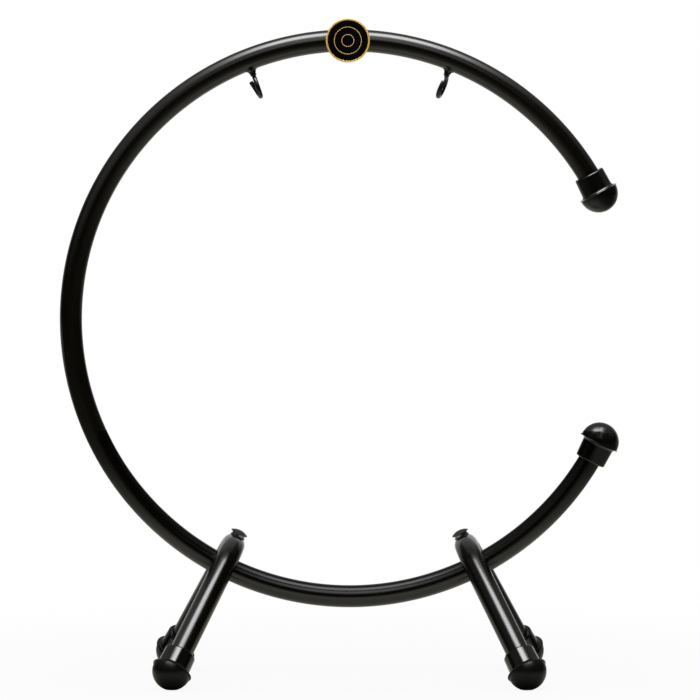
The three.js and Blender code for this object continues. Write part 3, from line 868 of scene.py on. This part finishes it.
def hook_boss(side, finish):
    """Flared boss whose foot follows the round of the tube."""
    flare_centre = (BOSS_BASE_RADIUS, BOSS_HEIGHT)
    profile = arc(flare_centre, (BOSS_TIP_RADIUS - BOSS_BASE_RADIUS, -BOSS_HEIGHT), 0, QUARTER)
    bore = WIRE_RADIUS + FIT
    rings = turned([(bore, BOSS_HEIGHT)] + profile + [(bore, 0)], TURNED_SIDES)
    reach = RING_TUBE_RADIUS + FIT
    for ring in rings:
        for point in ring:
            share = 1 - point.z / BOSS_HEIGHT
            drop = math.sqrt(reach**2 - point.y**2) - RING_TUBE_RADIUS
            bend = point.x**2 / (2 * RING_RADIUS)
            point.z += share * (drop + bend)
    make_piece("hook_boss_" + side, finish, (rings, hook_place(side), True))


def hook_path(spread):
    """Down the shank and the neck, and round the open eye, whose tip is spread sideways."""
    loop_centre = HOOK_DROP - HOOK_LOOP_RADIUS
    reach = HOOK_LOOP_RADIUS + HOOK_NECK_RADIUS
    start = math.asin(HOOK_NECK_RADIUS / reach)
    neck_depth = loop_centre - reach * math.cos(start)
    path = [Vector((0, 0, -HOOK_SHANK_REACH)), Vector((0, 0, neck_depth / 2))]
    for i in range(NECK_STEPS):
        angle = (QUARTER - start) * i / NECK_STEPS
        path.append(Vector((
            0,
            HOOK_NECK_RADIUS * (1 - math.cos(angle)),
            neck_depth + HOOK_NECK_RADIUS * math.sin(angle),
        )))
    for i in range(LOOP_STEPS + 1):
        share = i / LOOP_STEPS
        angle = start + (HOOK_TIP_ANGLE - start) * share
        path.append(Vector((
            -spread * share**HOOK_SPREAD_POWER,
            HOOK_LOOP_RADIUS * math.sin(angle),
            loop_centre - HOOK_LOOP_RADIUS * math.cos(angle),
        )))
    return path


def wire_rings(path):
    """Rings square to a path, each turned as little as it can be, up to a rounded tip."""
    rings = []
    across = X_AXIS
    last = len(path) - 1
    for i, point in enumerate(path):
        ahead = (path[min(i + 1, last)] - path[max(i - 1, 0)]).normalized()
        across = (across - across.dot(ahead) * ahead).normalized()
        rings.append(circle(point, across, ahead.cross(across), WIRE_RADIUS, WIRE_SIDES))
    for i in range(1, ARC_STEPS):
        angle = QUARTER * i / ARC_STEPS
        centre = path[last] + HOOK_TIP_ROUND * math.sin(angle) * ahead
        narrow = WIRE_RADIUS - HOOK_TIP_ROUND * (1 - math.cos(angle))
        rings.append(circle(centre, across, ahead.cross(across), narrow, WIRE_SIDES))
    rings.append([path[last] + HOOK_TIP_ROUND * ahead])
    return rings


def collar_profile():
    """A disc with round edges, right under the boss."""
    top = BOSS_HEIGHT + FIT
    bottom = top + HOOK_COLLAR_LENGTH
    inside = HOOK_COLLAR_RADIUS - HOOK_COLLAR_ROUND
    rounded = (HOOK_COLLAR_ROUND, HOOK_COLLAR_ROUND)
    upper = arc((inside, top + HOOK_COLLAR_ROUND), rounded, -QUARTER, 0)
    lower = arc((inside, bottom - HOOK_COLLAR_ROUND), rounded, 0, QUARTER)
    return [(0, top)] + upper + lower + [(0, bottom)]


def hook(side, finish):
    """Round wire with a shank, a neck and an open eye, and a pressed collar."""
    site = HOOK_SITES[side]
    place = hook_place(side) @ Matrix.Rotation(site["swivel"], 4, "Z")
    make_piece(
        "hook_" + side,
        finish,
        (wire_rings(hook_path(site["spread"])), place, False),
        (turned(collar_profile(), TURNED_SIDES), place, False),
    )


# Badge
def badge_piece(node, finish, profile):
    """A turned piece whose origin is at the back of the badge, on its axis, with Z to the front."""
    back = CENTRE + Vector((BADGE_OFFSET, -BADGE_PAD_FRONT - FIT, RING_RADIUS + BADGE_RISE))
    place = Matrix.Translation(back) @ Matrix.Rotation(QUARTER, 4, "X")
    piece = make_piece(node, finish, (turned(profile, BADGE_SIDES), place, False))
    piece.data.transform(place.inverted())
    piece.matrix_world = place


def badge_plate(finish):
    """Disc with a raised rim round a recess."""
    rounded = (BADGE_RIM_ROUND, BADGE_RIM_ROUND)
    outside = BADGE_RADIUS - BADGE_RIM_ROUND
    recess = BADGE_RADIUS - BADGE_RIM_WIDTH
    floor = BADGE_THICKNESS - BADGE_RECESS
    profile = [(0, 0)]
    profile += arc((outside, BADGE_RIM_ROUND), rounded, -QUARTER, 0)
    profile += arc((outside, BADGE_THICKNESS - BADGE_RIM_ROUND), rounded, 0, QUARTER)
    profile += [(recess + EDGE_BREAK, BADGE_THICKNESS), (recess, BADGE_THICKNESS - EDGE_BREAK)]
    profile += [(recess, floor), (0, floor)]
    badge_piece("badge_plate", finish, profile)


def badge_face(finish):
    """Disc that lies in the plate's recess."""
    radius = BADGE_RADIUS - BADGE_RIM_WIDTH - FIT
    back = BADGE_THICKNESS - BADGE_RECESS + FIT
    front = back + BADGE_FACE_THICKNESS
    profile = [
        (0, back),
        (radius, back),
        (radius, front - EDGE_BREAK),
        (radius - EDGE_BREAK, front),
        (0, front),
    ]
    badge_piece("badge_face", finish, profile)


def on_tube(point):
    """The point moved along Y to the clearance off the ring tube's front."""
    reach = RING_TUBE_RADIUS + FIT
    away = math.hypot(point.x, point.z) - RING_RADIUS
    return Vector((point.x, -math.sqrt(reach**2 - away**2), point.z))


def badge_pad(finish):
    """Rounded block, flat in front and hollowed behind to sit on the tube."""
    half_x = BADGE_PAD_LENGTH / 2 - BADGE_PAD_CORNER
    half_z = BADGE_PAD_WIDTH / 2 - BADGE_PAD_CORNER
    rounded = (BADGE_PAD_CORNER, BADGE_PAD_CORNER)
    outline = []
    for turn, (sx, sz) in enumerate(((1, 1), (-1, 1), (-1, -1), (1, -1))):
        corner = (sx * half_x, sz * half_z)
        outline += arc(corner, rounded, turn * QUARTER, (turn + 1) * QUARTER)
    front = [[Vector((BADGE_OFFSET, -BADGE_PAD_FRONT, RING_RADIUS))]]
    for i in range(1, PAD_STEPS + 1):
        share = i / PAD_STEPS
        front.append([
            Vector((BADGE_OFFSET + share * x, -BADGE_PAD_FRONT, RING_RADIUS + share * z))
            for x, z in outline
        ])
    back = [[on_tube(point) for point in ring] for ring in front[::-1]]
    make_piece("badge_pad", finish, (front + back, in_ring(), False))


def build_stand():
    coat = make_finish("powder_coat")
    rubber = make_finish("cap_rubber")
    steel = make_finish("black_steel")
    wire = make_finish("hook_steel")
    zinc = make_finish("zinc_steel")
    ring_tube(coat)
    ring_caps(rubber)
    for side in SIDES:
        foot_tube(side, coat)
        foot_caps(side, rubber)
        foot_fasteners(side, steel, zinc)
        hook_boss(side, coat)
        hook(side, wire)
        insert = frame["nodes"]["threaded_insert_" + side]
        insert.data.materials.clear()
        insert.data.materials.append(zinc)
    badge_pad(make_finish("pad_foam"))
    badge_plate(make_finish("badge_brass"))
    badge_face(badge_enamel())


# Floor, scrim, world, lamps and camera
def seen_rays(nodes):
    """Camera rays, and mirror rays, which show a background instead of lighting the object."""
    path = nodes.add("LightPath").outputs
    mirror = nodes.maths("MAXIMUM", path["Is Glossy Ray"], path["Is Transmission Ray"])
    return path["Is Camera Ray"], mirror


def floor_paper():
    """White paper with a faint shadow for the camera, and a dimmed glow for mirror rays.

    The glow has a part below the object and one behind it, and a painted contact shadow darkens it at what stands
    near.
    """
    material, nodes = new_material("floor_paper")
    camera, mirror = seen_rays(nodes)
    place = nodes.add("TexCoord").outputs["Object"]
    parts = nodes.add("SeparateXYZ", {"Vector": place}).outputs
    squeezed = nodes.add("VectorMath", {0: place, 1: FLOOR_GLOW_SQUEEZE}, operation="MULTIPLY")
    near = nodes.length(squeezed.outputs[0])
    aside = nodes.maths("ABSOLUTE", parts["X"])
    outer = nodes.ramp(aside, 1.0, FLOOR_OUTER_SHARE, FLOOR_OUTER_SPAN, smooth=True)
    below = nodes.product(nodes.curve(near, (0.0, FLOOR_RADIUS), FLOOR_GLOW), outer)
    left = nodes.ramp(parts["X"], LEFT_SHARE, 1.0, FLOOR_LEFT_SPAN, smooth=True)
    right = nodes.ramp(parts["X"], 1.0, RIGHT_SHARE, FLOOR_RIGHT_SPAN, smooth=True)
    deep = nodes.ramp(parts["Y"], 0.0, FLOOR_BACK_GLOW, FLOOR_BACK_SPAN, smooth=True)
    behind = nodes.product(left, right, deep)
    lit = nodes.maths("MAXIMUM", below, behind)
    # Painted contact shadow: occlusion darkens the glow near what stands on the floor
    for reach in CONTACT_SHADOW_REACHES:
        contact_shadow = nodes.add("AmbientOcclusion", {"Distance": reach}, samples=CONTACT_SHADOW_SAMPLES)
        lit = nodes.product(lit, contact_shadow.outputs["AO"])
    away = nodes.length(place)
    shadow = nodes.ramp(away, FLOOR_SHADOW_SHARE, 0.0, FLOOR_SHADOW_SPAN, smooth=True)
    seen = nodes.maths("MAXIMUM", camera, mirror)
    share = nodes.maths("SUBTRACT", seen, nodes.product(shadow, camera))
    tint = nodes.blend(nodes.noise(place, FLOOR_PAPER_GRAIN), *FLOOR_PAPERS)
    paper = nodes.add("BsdfDiffuse", {"Color": tint})
    shine = nodes.add("Emission", {
        "Color": nodes.blend(camera, FLOOR_TINT, WHITE),
        "Strength": nodes.maths("MAXIMUM", camera, lit),
    })
    both = nodes.add("MixShader", {0: share, 1: paper.outputs[0], 2: shine.outputs[0]})
    nodes.surface(both)
    return material


def build_floor():
    shape = bmesh.new()
    bmesh.ops.create_circle(shape, cap_ends=True, radius=FLOOR_RADIUS, segments=TURNED_SIDES)
    floor = new_object("floor", new_mesh("floor", shape, floor_paper()))
    floor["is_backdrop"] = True


def flag_scrim():
    """Dims the rays that meet it from below, and lets the others through."""
    material, nodes = new_material("flag_scrim")
    from_below = nodes.add("NewGeometry").outputs["Backfacing"]
    dimming = nodes.ramp(from_below, 1.0, FLAG_SHARE)
    nodes.surface(nodes.add("BsdfTransparent", {"Color": dimming}))
    return material


def build_flag():
    """A scrim inside the ring, which dims the overhead lamp as the ring's lower part sees it."""
    shape = bmesh.new()
    across, deep = FLAG_REACH
    height = CENTRE.z + FLAG_HEIGHT
    shape.faces.new([
        shape.verts.new((CENTRE.x + x * across, y * deep, height))
        for x, y in ((-1, -1), (1, -1), (1, 1), (-1, 1))
    ])
    flag = new_object("flag", new_mesh("flag", shape, flag_scrim()))
    flag.visible_camera = False
    flag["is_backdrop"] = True


def build_world():
    """Plain light for diffuse rays. Mirror rays see a pale back and a dim ceiling."""
    world = bpy.data.worlds.new("studio")
    world.use_nodes = True
    nodes = Nodes(world.node_tree)
    camera, mirror = seen_rays(nodes)
    direction = nodes.add("TexCoord").outputs["Generated"]
    parts = nodes.add("SeparateXYZ", {"Vector": direction}).outputs
    left = nodes.ramp(parts["X"], LEFT_SHARE, 1.0, BACK_LEFT_SPAN, smooth=True)
    right = nodes.ramp(parts["X"], 1.0, RIGHT_SHARE, BACK_RIGHT_SPAN, smooth=True)
    behind = nodes.ramp(parts["Y"], 0.0, 1.0, BACK_SPAN, smooth=True)
    low = nodes.ramp(parts["Z"], 1.0, CEILING_GLOW, BACK_UPPER_SPAN, smooth=True)
    back = nodes.product(left, right, behind, low)
    above = nodes.ramp(parts["Z"], 0.0, CEILING_GLOW, CEILING_SPAN, smooth=True)
    not_front = nodes.ramp(parts["Y"], 0.0, 1.0, CEILING_FRONT_SPAN, smooth=True)
    room = nodes.maths("MAXIMUM", back, nodes.product(above, not_front))
    seen = nodes.maths("MAXIMUM", camera, nodes.product(mirror, room))
    hidden = nodes.maths("SUBTRACT", 1.0, nodes.maths("MAXIMUM", camera, mirror))
    strength = nodes.maths("MULTIPLY_ADD", hidden, AMBIENT, seen)
    glow = nodes.add("Background", {"Color": rgba(WHITE), "Strength": strength})
    nodes.surface(glow, "OutputWorld")
    SCENE.world = world


def softbox(name, aim, way, layers, pieces=()):
    """Area lamps laid over each other for a light with soft edges.

    The way leads to them from their aim. Where pieces are named, they alone are lit.
    """
    place = aim + way
    turn = (aim - place).to_track_quat("-Z", "Y")
    for i, (width, depth, radiance) in enumerate(layers):
        lamp = bpy.data.lights.new(f"{name}_{i}", "AREA")
        lamp.shape = "RECTANGLE"
        lamp.size = width
        lamp.size_y = depth
        lamp.energy = radiance * math.pi * width * depth
        holder = new_object(f"{name}_{i}", lamp)
        holder.location = place + turn @ Vector((0, 0, i * LAYER_STEP))
        holder.rotation_euler = turn.to_euler()
        holder.visible_camera = False
        if pieces:
            group = bpy.data.collections.new(f"{name}_{i}")
            for piece in pieces:
                group.objects.link(piece)
            holder.light_linking.receiver_collection = group


def pieces_named(words):
    """The pieces with these words in their names."""
    return [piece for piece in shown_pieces() if words in piece.name]


def build_lamps():
    """Some light the feet or the rest alone, and each foot and its front cap have their own."""
    tubes = pieces_named("foot_tube")
    feet = tubes + pieces_named("foot_cap")
    others = [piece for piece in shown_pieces() if piece not in feet]
    over = Vector((CENTRE.x, OVERHEAD_AIM_DEPTH, CENTRE.z))
    room = Vector((CENTRE.x, 0, ROOM_AIM_HEIGHT))
    low = Vector((CENTRE.x, 0, LOW_AIM_HEIGHT))
    softbox("overhead", over, OVERHEAD_WAY, OVERHEAD_LAYERS, others)
    softbox("room", room, ROOM_WAY, ROOM_LAYERS)
    softbox("ceiling", low, CEILING_WAY, CEILING_LAYERS, tubes)
    softbox("foot_side", low, SIDE_WAY, FOOT_SIDE_LAYERS, feet)
    softbox("side", CENTRE, SIDE_WAY, SIDE_LAYERS, others)
    softbox("behind", low, BEHIND_WAY, BEHIND_LAYERS, tubes)
    softbox("left", low, LEFT_WAY, LEFT_LAYERS, tubes)
    softbox("right", low, RIGHT_WAY, RIGHT_LAYERS, pieces_named("foot_tube_left"))
    aside, depth, height = LEG_AIM
    for side, turn in SIDES.items():
        leg = Vector((CENTRE.x + turn * aside, depth, height))
        way = FOOT_LAMP_DISTANCE * FOOT_LAMP_WAYS[side].normalized()
        tube = pieces_named("foot_tube_" + side)
        front = pieces_named(f"foot_cap_{side}_front")
        softbox("foot_" + side, leg, way, FOOT_LAYERS, tube)
        softbox("cap_" + side, leg, way + CAP_LAMP_SHIFT, CAP_LAYERS, front)


def build_camera():
    """Far off and low, with the ring's centre at its place in the picture."""
    data = bpy.data.cameras.new("camera")
    data.sensor_width = SENSOR_WIDTH
    data.lens = FOCAL_PIXELS * SENSOR_WIDTH / FRAME_PIXELS
    data.clip_start = CLIP_START
    data.clip_end = CLIP_END
    back = Vector((
        math.sin(CAMERA_AZIMUTH) * math.cos(CAMERA_ELEVATION),
        -math.cos(CAMERA_AZIMUTH) * math.cos(CAMERA_ELEVATION),
        math.sin(CAMERA_ELEVATION),
    ))
    turn = (-back).to_track_quat("-Z", "Y")
    right = turn @ X_AXIS
    up = turn @ Y_AXIS
    scale = CAMERA_DISTANCE / FOCAL_PIXELS
    middle = FRAME_PIXELS / 2
    target = CENTRE + scale * (middle - RING_CENTRE_PIXEL[0]) * right
    target -= scale * (middle - RING_CENTRE_PIXEL[1]) * up
    camera = new_object("camera", data)
    camera.location = target + CAMERA_DISTANCE * back
    camera.rotation_mode = "QUATERNION"
    camera.rotation_quaternion = turn
    SCENE.camera = camera


SCENE.view_settings.view_transform = "Standard"
build_stand()
build_flag()
build_floor()
build_world()
build_lamps()
build_camera()
